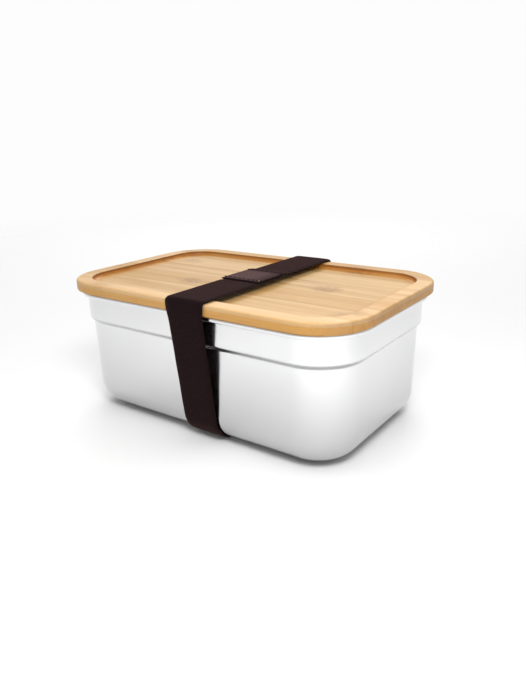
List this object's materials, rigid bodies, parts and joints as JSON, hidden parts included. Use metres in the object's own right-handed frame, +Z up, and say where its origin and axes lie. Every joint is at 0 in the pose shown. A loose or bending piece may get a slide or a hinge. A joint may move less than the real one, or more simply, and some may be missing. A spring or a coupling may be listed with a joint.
{
  "type": "lunch box",
  "caption": "Rectangular steel food box with a bamboo lid that lifts off, a sliding divider inside and an elastic band that holds it shut.",
  "frame": {"origin": "middle of the surface that the box stands on, under the middle of the lid; the band under the tray touches it", "axes": "+X along the long side, +Y towards the back long side, +Z up"},
  "size_m": [0.19, 0.1256, 0.0827],
  "materials": {
    "steel": "satin stainless steel sheet, faint drawing lines",
    "bamboo": "oiled caramelised bamboo, fine grain along X",
    "silicone": "milky soft silicone",
    "webbing": "dark brown woven elastic, fine cross ribs",
    "thread": "dark brown twisted thread"
  },
  "bodies": {
    "tray": {"tray_shell": "steel"},
    "lid": {"lid_top_plank_1": "bamboo", "lid_top_plank_2": "bamboo", "lid_top_plank_3": "bamboo", "lid_top_plank_4": "bamboo", "lid_top_plank_5": "bamboo", "lid_top_plank_6": "bamboo", "lid_under_plank_1": "bamboo", "lid_under_plank_2": "bamboo", "lid_under_plank_3": "bamboo", "lid_under_plank_4": "bamboo", "lid_under_plank_5": "bamboo", "lid_seal": "silicone"},
    "divider": {"divider_plate": "steel", "divider_edging": "silicone"},
    "strap": {"strap_under_run": "webbing", "strap_front_span": "webbing", "strap_back_span": "webbing"},
    "strap_top": {"strap_top_front_run": "webbing", "strap_top_back_run": "webbing", "strap_stitches": "thread"}
  },
  "joints": [
    {"name": "lid_lift", "type": "slide", "parent": "tray", "child": "lid", "axis": [0, 0, 1], "range_m": [0, 0.03]},
    {"name": "divider_slide", "type": "slide", "parent": "tray", "child": "divider", "axis": [1, 0, 0], "range_m": [-0.09, 0.03]},
    {"name": "strap_slide", "type": "slide", "parent": "tray", "child": "strap", "axis": [1, 0, 0], "range_m": [-0.12, 0.105]},
    {"name": "strap_stretch", "type": "slide", "parent": "strap", "child": "strap_top", "axis": [0, 0, 1], "range_m": [0, 0.03], "stiffness_N_per_m": 100, "springref_m": -0.03, "deforming": ["strap_front_span", "strap_back_span"]}
  ],
  "couplings": [
    {"joint": "strap_stretch", "follows": "lid_lift", "ratio": 1}
  ]
}
